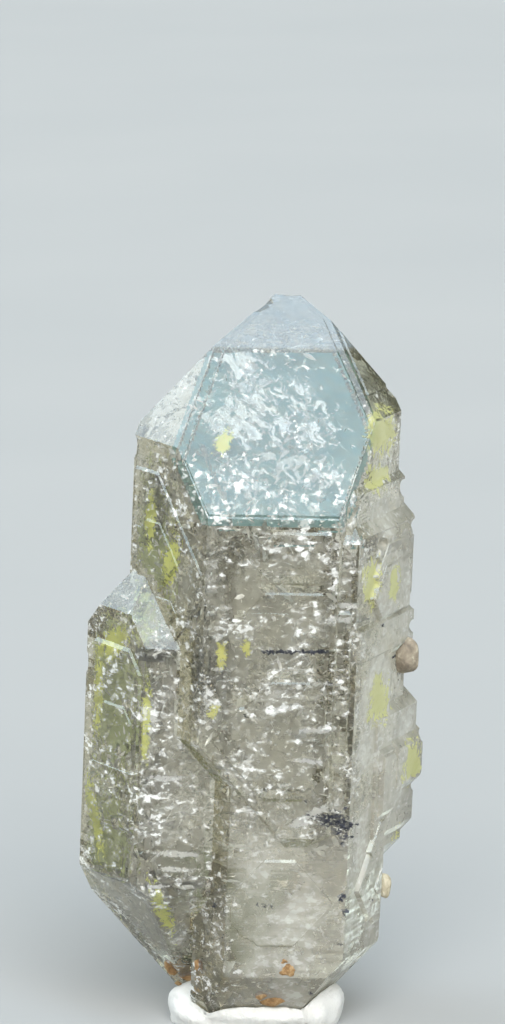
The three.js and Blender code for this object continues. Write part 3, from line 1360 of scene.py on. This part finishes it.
@dataclass
class Inlays:
    """Films that follow a face a little below it, all of one finish."""

    name: str
    inside: Interior
    places: Sequence[Inlay]
    finish: FilmFinish | FeatherFinish
    cells: int = 18
    corner: float = 1.05

    def build(self) -> bpy.types.Object:
        """Lays every film and joins them in one piece."""
        verts: list[Vector] = []
        faces: list[list[int]] = []
        reach: list[float] = []
        for place in self.places:
            self._lay(place, verts, faces, reach)
        made = mesh_object(self.name, verts, faces, self.finish.material())
        set_attribute(made, "reach", reach)
        return made

    def _lay(
        self,
        place: Inlay,
        verts: list[Vector],
        faces: list[list[int]],
        reach: list[float],
    ) -> None:
        """Adds one film.

        Args:
            place: where it is.
            verts: vertices so far.
            faces: faces so far.
            reach: distance from each film's middle so far.
        """
        mid = [(a + b) / 2 for a, b in (place.across, place.down)]
        half = [(b - a) / 2 for a, b in (place.across, place.down)]
        c, s = (math.cos(math.radians(place.turn_deg)), math.sin(math.radians(place.turn_deg)))
        middle = self.inside.seen(*mid)
        index: dict[tuple[int, int], int] = {}
        n = self.cells
        for i in range(n + 1):
            for j in range(n + 1):
                u, v = 2 * i / n - 1, 2 * j / n - 1
                du, dv = u * half[0], v * half[1]
                found = self.inside.seen(mid[0] + c * du - s * dv, mid[1] + s * du + c * dv)
                if found is None or math.hypot(u, v) > self.corner:
                    continue
                if place.one_face and found[1].dot(middle[1]) < 0.93:
                    continue
                point = found[0] - found[1] * place.depth_mm * MM
                if place.depth_mm < 0.03 or self.inside.holds(point, 0.04 * MM):
                    index[i, j] = len(verts)
                    verts.append(point)
                    reach.append(math.hypot(u, v))
        limit = 1.1 * MM
        for i in range(n):
            for j in range(n):
                ring = [(i, j), (i, j + 1), (i + 1, j + 1), (i + 1, j)]
                if not all(corner in index for corner in ring):
                    continue
                ids = [index[corner] for corner in ring]
                if max((verts[ids[0]] - verts[k]).length for k in ids[1:]) < limit:
                    faces.append(ids)


@dataclass
class DarkFlecks:
    """Bitumen: a flat film, feathery sprays and single specks, each placed from the front view."""

    inside: Interior
    seed: int = 77

    def build(self) -> list[bpy.types.Object]:
        """Places the film, the spray and the specks as flakes, and strews more through the quartz."""
        rng = random.Random(self.seed)
        points: list[Vector] = []
        spans: list[float] = []
        spins: list[tuple[float, float, float]] = []

        def drop(across: float, down: float, depth: float, size: float) -> None:
            """Adds one fleck at a place of the front view."""
            found = self.inside.seen(across, down)
            if found is None:
                return
            point = found[0] - found[1] * depth * MM
            if self.inside.holds(point, 0.0):
                points.append(point)
                spans.append(size * MM)
                spins.append(( math.pi / 2 + rng.gauss(0, 0.5), rng.gauss(0, 0.5), rng.gauss(0, 0.5), ))

        for _ in range(150):
            t = rng.random()
            drop(
                262 + 66 * t + rng.gauss(0, 1.0),
                652 + rng.gauss(0, 0.8),
                0.03 * rng.random(),
                rng.uniform(0.05, 0.16),
            )
        for _ in range(190):
            t = rng.random() ** 1.1
            drop(
                350 - 34 * t + rng.gauss(0, 5),
                826 - 10 * t + rng.gauss(0, 6.5) * (1.15 - t),
                rng.uniform(0.0, 0.05),
                rng.uniform(0.06, 0.24) * (1.1 - 0.5 * t),
            )
        for across, down, size in (
            (343, 897, 0.26),
            (343, 912, 0.2),
            (258, 905, 0.12),
            (264, 905, 0.1),
            (270, 906, 0.13),
            (339, 945, 0.14),
            (310, 993, 0.12),
            (383, 626, 0.16),
            (393, 657, 0.12),
            (398, 664, 0.13),
            (401, 671, 0.1),
            (305, 800, 0.1),
            (292, 820, 0.08),
            (246, 716, 0.1),
            (330, 683, 0.1),
            (222, 936, 0.1),
            (371, 902, 0.1),
            (214, 905, 0.12),
            (166, 690, 0.1),
            (180, 706, 0.09),
        ):
            for _ in range(4):
                drop(
                    across + rng.gauss(0, 1.2),
                    down + rng.gauss(0, 1.4),
                    rng.uniform(0.0, 0.04),
                    size * rng.uniform(0.6, 1.2),
                )
        for _ in range(260):
            point = self.inside.sample(rng, 0.3 * MM)
            points.append(point)
            spans.append(rng.uniform(0.02, 0.09) * MM)
            spins.append(tuple(rng.uniform(0, math.pi) for _ in range(3)))
        finish = GrainFinish(
            "bitumen",
            (
                (0.0, (0.006, 0.007, 0.012, 1.0)),
                (0.6, (0.02, 0.024, 0.04, 1.0)),
                (1.0, (0.05, 0.045, 0.04, 1.0)),
            ),
            3.0,
            (0.25, 0.6),
            0.05,
        )
        tree = Scatter("fleck_scatter", 7, 0.5)
        return [
            tree.grow(
                "bitumen_flecks",
                points,
                spans,
                spins,
                {
                    "Flake size": 1.0,
                    "Thinnest stretch": 0.8,
                    "Seed": self.seed,
                    "Finish": finish.material(),
                },
            )
        ]


@dataclass(frozen=True)
class Lump:
    """One grain: its place in the front view, its radii and how deep it is sunk."""

    across: float
    down: float
    size_mm: tuple[float, float, float]
    sunk_mm: float = 0.0


@dataclass
class Limonite:
    """Orange-brown grains caught in the foot of the cluster."""

    inside: Interior
    seed: int = 9
    grains: Sequence[Lump] = (
        Lump(288, 970, (0.62, 0.3, 0.55), 0.28),
        Lump(284, 962, (0.32, 0.22, 0.28), 0.25),
        Lump(272, 1000, (0.95, 0.3, 0.6), 0.28),
        Lump(261, 996, (0.45, 0.25, 0.36), 0.25),
        Lump(171, 967, (0.6, 0.25, 0.7), 0.30),
        Lump(190, 976, (0.75, 0.25, 0.5), 0.30),
        Lump(181, 985, (0.5, 0.25, 0.3), 0.28),
        Lump(198, 965, (0.4, 0.2, 0.45), 0.28),
    )

    def build(self) -> bpy.types.Object:
        """Sets the grains into the faces, so that their tops just show."""
        rng = random.Random(self.seed)
        verts: list[Vector] = []
        faces: list[list[int]] = []
        for grain in self.grains:
            found = self.inside.seen(grain.across, grain.down)
            if found is None:
                continue
            centre = found[0] - found[1] * (grain.sunk_mm - 0.08) * MM
            self._grain(centre, grain.size_mm, rng.uniform(0, 40), verts, faces)
        finish = GrainFinish(
            "limonite",
            (
                (0.3, (0.12, 0.065, 0.025, 1.0)),
                (0.5, (0.31, 0.18, 0.075, 1.0)),
                (0.7, (0.52, 0.37, 0.20, 1.0)),
            ),
            2.2,
        )
        return mesh_object("limonite_grains", verts, faces, finish.material())

    @staticmethod
    def _grain(
        centre: Vector,
        size: tuple[float, float, float],
        phase: float,
        verts: list[Vector],
        faces: list[list[int]],
    ) -> None:
        """Adds one rough grain.

        Args:
            centre: its middle.
            size: its radii in millimetres.
            phase: where its noise starts.
            verts: vertices so far.
            faces: faces so far.
        """
        ball = bmesh.new()
        bmesh.ops.create_icosphere(ball, subdivisions=3, radius=1.0)
        first = len(verts)
        for vert in ball.verts:
            bulge = 1.0 + 0.35 * noise.fractal(vert.co * 1.3 + Vector((phase, 0, 0)), 1.0, 2.0, 3)
            verts.append(centre + Vector([c * s * bulge * MM for c, s in zip(vert.co, size)]))
        faces.extend([[first + v.index for v in face.verts] for face in ball.faces])
        ball.free()


@dataclass
class PuttyPad:
    """The pressed putty, kneaded finer than the solid."""

    node: bpy.types.Object

    def build(self) -> bpy.types.Object:
        """Subdivides a merged copy and kneads its free surface."""
        copy = merged_copy(self.node, 0.0)
        bmesh.ops.subdivide_edges(
            copy,
            edges=[e for e in copy.edges if e.calc_length() > 0.3 * MM],
            cuts=1,
            use_grid_fill=True,
        )
        bmesh.ops.triangulate(copy, faces=copy.faces)
        copy.normal_update()
        low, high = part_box("putty_pad")
        for vert in copy.verts:
            rise = (vert.co.z - low.z) / MM
            press = min(rise / 0.4, 1.0)
            dent = noise.fractal(vert.co / (1.7 * MM), 0.8, 2.1, 4)
            vert.co -= vert.normal * press * (0.06 + 0.10 * dent) * MM
            vert.co.z = max(vert.co.z, low.z)
            for axis in (0, 1):
                vert.co[axis] = min(max(vert.co[axis], low[axis]), high[axis])
        data = bpy.data.meshes.new("putty_blob")
        copy.to_mesh(data)
        copy.free()
        data.polygons.foreach_set("use_smooth", [True] * len(data.polygons))
        data.materials.append(PuttyFinish().material())
        return linked("putty_blob", data)


@dataclass
class MatrixGrains:
    """The two grains of host rock on the right-hand side."""

    nodes: dict[str, bpy.types.Object]

    def dress(self) -> None:
        """Gives the two solids their finishes."""
        upper = GrainFinish(
            "host_rock_brown",
            (
                (0.3, (0.16, 0.13, 0.10, 1.0)),
                (0.55, (0.34, 0.29, 0.22, 1.0)),
                (0.72, (0.62, 0.57, 0.45, 1.0)),
            ),
            1.5,
        )
        lower = GrainFinish(
            "host_rock_cream",
            (
                (0.3, (0.34, 0.28, 0.18, 1.0)),
                (0.6, (0.60, 0.54, 0.40, 1.0)),
                (0.8, (0.74, 0.70, 0.60, 1.0)),
            ),
            2.0,
        )
        for name, finish in (("matrix_grain_upper", upper), ("matrix_grain_lower", lower)):
            data = self.nodes[name].data
            data.materials.clear()
            data.materials.append(finish.material())


@dataclass
class Studio:
    """The camera, the pale floor and the soft light."""

    elevation_deg: float = 11.8
    distance_m: float = 0.45
    target_mm: tuple[float, float, float] = (0.06, -2.1, 36.45)
    lens_mm: float = 224.7
    panel_distance_m: float = 0.9

    def camera(self) -> bpy.types.Object:
        """Makes the front camera."""
        data = bpy.data.cameras.new("front_camera")
        data.sensor_width = SENSOR_MM
        data.lens = self.lens_mm
        data.clip_start, data.clip_end = 0.01, 20.0
        made = linked("front_camera", data)
        rise = math.radians(self.elevation_deg)
        back = Vector((0.0, -math.cos(rise), math.sin(rise)))
        made.location = Vector(self.target_mm) * MM + back * self.distance_m
        made.rotation_euler = (math.pi / 2 - rise, 0.0, 0.0)
        bpy.context.scene.camera = made
        bpy.context.view_layer.update()
        return made

    def stage(self) -> None:
        """Lays the floor and hangs the lights."""
        half = 3.0
        floor = mesh_object(
            "studio_floor",
            [(-half, -half, 0), (half, -half, 0), (half, half, 0), (-half, half, 0)],
            [[0, 1, 2, 3]],
            FloorFinish().material(),
            smooth=False,
        )
        middle = Vector((0.0, 0.0, 26 * MM))
        for name, way, size, glow, color in (
            ("left_panel", (-0.97, -0.10, 0.30), 0.30, 2.6, (1.0, 0.99, 0.96)),
            ("right_panel", (0.93, -0.22, 0.42), 0.30, 2.0, (1.0, 0.98, 0.94)),
        ):
            self._panel(name, middle, way, size, glow, color)
        self._world()

    def _panel(
        self,
        name: str,
        middle: Vector,
        way: tuple[float, float, float],
        size: float,
        glow: float,
        color: tuple[float, float, float],
    ) -> None:
        """Hangs one soft panel.

        Args:
            name: its name.
            middle: what it faces.
            way: direction from there to the panel.
            size: its side in metres.
            glow: its brightness as a mirror would show it.
            color: its colour.
        """
        data = bpy.data.lights.new(name, "AREA")
        data.shape, data.size = "SQUARE", size
        data.energy, data.color = glow * math.pi * size * size, color
        made = linked(name, data)
        ahead = Vector(way).normalized()
        made.location = middle + ahead * self.panel_distance_m
        made.rotation_euler = ahead.to_track_quat("Z", "Y").to_euler()

    @staticmethod
    def _world() -> None:
        """Soft light from all round, brightest in patches overhead, in front and behind on the left."""
        world = bpy.data.worlds.new("soft_sky")
        world.use_nodes = True
        bpy.context.scene.world = world
        net = Net(world.node_tree)
        ahead = net.wire("ShaderNodeTexCoord", output="Generated")
        _, _, up = net.split(ahead)
        color = net.wire(
            "ShaderNodeValToRGB",
            {
                "stops": (
                    (0.0, (0.20, 0.20, 0.18, 1.0)),
                    (0.50, (0.20, 0.22, 0.16, 1.0)),
                    (0.60, (0.24, 0.27, 0.19, 1.0)),
                    (0.72, (0.44, 0.48, 0.47, 1.0)),
                    (1.0, (0.66, 0.74, 0.80, 1.0)),
                )
            },
            {0: up * 0.5 + 0.5},
        )
        for way, inner, outer, glow in (
            ((0.194, -0.413, 0.897), 10.0, 17.0, (4.6, 6.0, 7.2, 1.0)),
            ((0.05, -0.78, 0.62), 16.0, 34.0, (6.2, 6.1, 5.9, 1.0)),
            ((-0.72, 0.44, 0.52), 11.0, 20.0, (4.2, 5.0, 5.6, 1.0)),
        ):
            toward = net.wire(
                "ShaderNodeVectorMath",
                {"operation": "DOT_PRODUCT"},
                {0: ahead, 1: tuple(Vector(way).normalized())},
                output="Value",
            )
            patch = net.step(toward, math.cos(math.radians(outer)), math.cos(math.radians(inner)))
            color = net.blend(patch, color, glow)
        shine = net.wire("ShaderNodeBackground", {}, {"Color": color, "Strength": 1.0})
        net.node("ShaderNodeOutputWorld", {}, {"Surface": shine})


def render_manners() -> None:
    """Light paths that clear quartz with many films inside needs."""
    scene = bpy.context.scene
    cycles = scene.cycles
    cycles.max_bounces = 8
    cycles.transmission_bounces = 8
    cycles.glossy_bounces = 5
    cycles.diffuse_bounces = 3
    cycles.transparent_max_bounces = 10
    cycles.volume_bounces = 0
    cycles.caustics_reflective = False
    cycles.caustics_refractive = True
    cycles.sample_clamp_indirect = 6.0
    scene.view_settings.view_transform = "Standard"


def carry(pieces: Iterable[bpy.types.Object], node: str | None = None) -> None:
    """Lets pieces ride on the body.

    Args:
        pieces: the finished pieces.
        node: the CAD node that they stand for, where they do.
    """
    for piece in pieces:
        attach(piece, BODY)
        if node:
            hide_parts(node)
        LOG.info("%s: %d faces", piece.name, len(piece.data.polygons))


# Films as the front view shows them: picture places across and down, depth in millimetres, turn in degrees.
SKIN = -0.012
YELLOW_PLACES = (
    Inlay((362, 400), (400, 466), SKIN, 4),
    Inlay((360, 392), (458, 500), SKIN, 12),
    Inlay((360, 384), (548, 616), SKIN, 3),
    Inlay((386, 402), (556, 612), SKIN),
    Inlay((364, 394), (668, 734), SKIN, 6),
    Inlay((400, 426), (730, 800), SKIN, 4),
    Inlay((388, 408), (818, 866), SKIN, 10),
)
YELLOW_DEEP_PLACES = (
    Inlay((214, 230), (634, 674), 0.1, 5),
    Inlay((240, 252), (636, 660), 0.1),
    Inlay((212, 234), (424, 458), 0.3, 25),
    Inlay((206, 222), (700, 726), 0.1, 15),
)
GREEN_PLACES = (
    Inlay((92, 104), (640, 750), 0.08, 3),
    Inlay((139, 153), (670, 775), 0.08, 2),
    Inlay((94, 128), (616, 672), 0.3, 36),
    Inlay((158, 180), (520, 600), 0.3, 10),
    Inlay((142, 156), (480, 560), 0.4, 4),
    Inlay((86, 102), (760, 880), 0.3, -10),
    Inlay((100, 124), (900, 950), 0.3, -35),
    Inlay((152, 172), (870, 950), 0.3, -20),
)
STAIN_PLACES = (
    Inlay((160, 208), (956, 988), 0.25, 12),
    Inlay((164, 206), (984, 994), 0.25, 6),
    Inlay((255, 296), (985, 1006), 0.25, 2),
    Inlay((280, 300), (958, 980), 0.25),
)
# Painted shade: dark olive-brown sheets under the left and front prism faces and the right tip face.
DARK_PAINTED_SHADE_PLACES = (
    Inlay((134, 168), (448, 560), 0.8, 4),
    Inlay((352, 388), (352, 412), 0.7, 34),
    Inlay((205, 252), (520, 600), 0.8),
    Inlay((182, 204), (560, 740), 0.8, 2),
)
FAN_PLACES = (
    Inlay((190, 368), (348, 532), 0.35, one_face=True),
    Inlay((176, 300), (330, 452), 0.8, one_face=True),
)
DEEP_FAN_PLACES = (
    Inlay((190, 368), (352, 532), 1.1, one_face=True),
    Inlay((180, 300), (340, 450), 1.3, one_face=True),
)
# Painted shade: a mottled sheet, dark brown to pale, deep inside the prism.
BROWN_PAINTED_SHADE_PLACES = (
    Inlay((200, 358), (530, 700), 2.4),
    Inlay((200, 358), (680, 834), 2.4),
    Inlay((132, 206), (450, 720), 2.2),
    Inlay((86, 206), (650, 800), 2.2),
    Inlay((86, 206), (780, 960), 2.0),
)
# Painted shade: a dark olive sheet inside the left prism and the left crystal.
OLIVE_PAINTED_SHADE_PLACES = (
    Inlay((84, 136), (600, 800), 1.2),
    Inlay((78, 126), (770, 950), 1.2),
    Inlay((130, 172), (446, 650), 1.2),
    Inlay((96, 140), (930, 985), 1.0),
)
# Painted glints: thin bright white lines along edges and cracks.
PAINTED_GLINT_PLACES = (
    Inlay((134, 198), (774, 782), 0.06, 1),
    Inlay((138, 204), (850, 858), 0.06, 3),
    Inlay((150, 202), (866, 873), 0.06, 2),
    Inlay((136, 176), (884, 890), 0.06, -3),
    Inlay((328, 368), (602, 610), 0.06),
    Inlay((322, 362), (616, 624), 0.06, 2),
    Inlay((262, 304), (704, 713), 0.06, -6),
    Inlay((286, 350), (726, 735), 0.06, -4),
    Inlay((276, 348), (808, 822), 0.06, -27),
    Inlay((288, 330), (758, 765), 0.06, 5),
    Inlay((168, 182), (448, 464), 0.06, 30),
)
# Painted reflection: a dark teal sheet under the front tip face.
TEAL_PAINTED_REFLECTION_PLACES = (Inlay((176, 372), (346, 536), 1.7, one_face=True),)
# Painted glints with painted shade between them, deep under the prism faces.
GLINTS_PAINTED_DEEP_PLACES = (
    Inlay((200, 356), (528, 700), 1.5),
    Inlay((200, 356), (660, 830), 1.7),
    Inlay((130, 206), (450, 700), 1.5),
    Inlay((85, 205), (650, 800), 1.6),
    Inlay((85, 205), (780, 960), 1.5),
)

# Each piece of films: its name, places and finish, then the cells and corner of its grid where they differ.
FILMS: Sequence[tuple[Any, ...]] = (
    (
        "yellow_films",
        YELLOW_DEEP_PLACES,
        FilmFinish("yellow_film", (0.98, 0.96, 0.14, 1.0), (0.99, 0.98, 0.45, 1.0), 0.95),
    ),
    (
        "yellow_skins",
        YELLOW_PLACES,
        FilmFinish("yellow_skin", (0.52, 0.54, 0.08, 1.0), (0.82, 0.82, 0.42, 1.0), 0.52, 0.7),
    ),
    (
        "green_films",
        GREEN_PLACES,
        FilmFinish("green_film", (0.90, 0.96, 0.12, 1.0), (0.97, 0.98, 0.42, 1.0), 0.95),
    ),
    (
        "limonite_stains",
        STAIN_PLACES,
        FilmFinish("limonite_stain", (0.50, 0.30, 0.12, 1.0), (0.70, 0.55, 0.34, 1.0), 0.6),
    ),
    # painted shade under the left and front prism faces and the right tip face
    (
        "painted_shade_films",
        DARK_PAINTED_SHADE_PLACES,
        FilmFinish(
            "painted_shade_film", (0.12, 0.11, 0.06, 1.0), (0.26, 0.24, 0.15, 1.0), 0.55, 1.1, (0.42, 0.62)
        ),
    ),
    ("feather_fan", FAN_PLACES, FeatherFinish("feather_fan", lean_deg=28.0), 96, 1.5),
    (
        "feather_deep",
        DEEP_FAN_PLACES,
        FeatherFinish("feather_deep", lean_deg=-35.0, shift=7.0, cover=0.7),
        96,
        1.5,
    ),
    # painted glints and painted shade under the prism faces
    (
        "glints_painted_deep",
        GLINTS_PAINTED_DEEP_PLACES,
        FeatherFinish(
            "glints_painted_deep",
            (0.92, 0.92, 0.88, 1.0),
            (0.34, 0.31, 0.20, 1.0),
            (0.8, 0.8, 1.1),
            -12.0,
            (0.54, 0.62),
            1.0,
            0.2,
            0.25,
            17.0,
        ),
        44,
        1.5,
    ),
    # painted shade inside the left prism and left crystal
    (
        "olive_painted_shade_depth",
        OLIVE_PAINTED_SHADE_PLACES,
        FilmFinish(
            "olive_painted_shade_depth", (0.32, 0.36, 0.12, 1.0), (0.82, 0.88, 0.50, 1.0), 0.8, 0.8, (0.1, 0.6)
        ),
        30,
        1.3,
    ),
    # painted shade deep inside the prism
    (
        "brown_painted_shade_depth",
        BROWN_PAINTED_SHADE_PLACES,
        FilmFinish(
            "brown_painted_shade_depth", (0.35, 0.335, 0.265, 1.0), (0.90, 0.89, 0.85, 1.0), 0.65, 0.7, (-0.3, 0.5)
        ),
        40,
        1.5,
    ),
    # painted glints along edges and cracks
    (
        "painted_glint_lines",
        PAINTED_GLINT_PLACES,
        FilmFinish("painted_glint_line", (0.97, 0.98, 0.99, 1.0), (0.99, 0.99, 0.99, 1.0), 1.0, 1.0),
        30,
        1.2,
    ),
    # painted teal reflection under the front tip face
    (
        "teal_painted_reflection",
        TEAL_PAINTED_REFLECTION_PLACES,
        FilmFinish(
            "teal_painted_reflection", (0.07, 0.20, 0.21, 1.0), (0.26, 0.46, 0.48, 1.0), 0.85, 0.45, (-1.6, -1.3)
        ),
        110,
        1.5,
    ),
)


def main() -> None:
    """Builds the object and its studio."""
    logging.basicConfig(level=logging.INFO, format="%(name)s %(message)s")
    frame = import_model()
    nodes = frame["nodes"]
    studio = Studio()
    camera = studio.camera()
    inside = Interior(nodes["crystal"], camera)

    carry([CrystalShell(nodes["crystal"]).build()], "crystal")
    carry(Veils(inside).build())
    carry(Glints(inside).build())
    carry(DarkFlecks(inside).build())
    for name, places, finish, *grid in FILMS:
        carry([Inlays(name, inside, places, finish, *grid).build()])
    carry([Limonite(inside).build()])
    carry([PuttyPad(nodes["putty_pad"]).build()], "putty_pad")
    MatrixGrains(nodes).dress()

    studio.stage()
    render_manners()


if __name__ == "__main__":
    main()
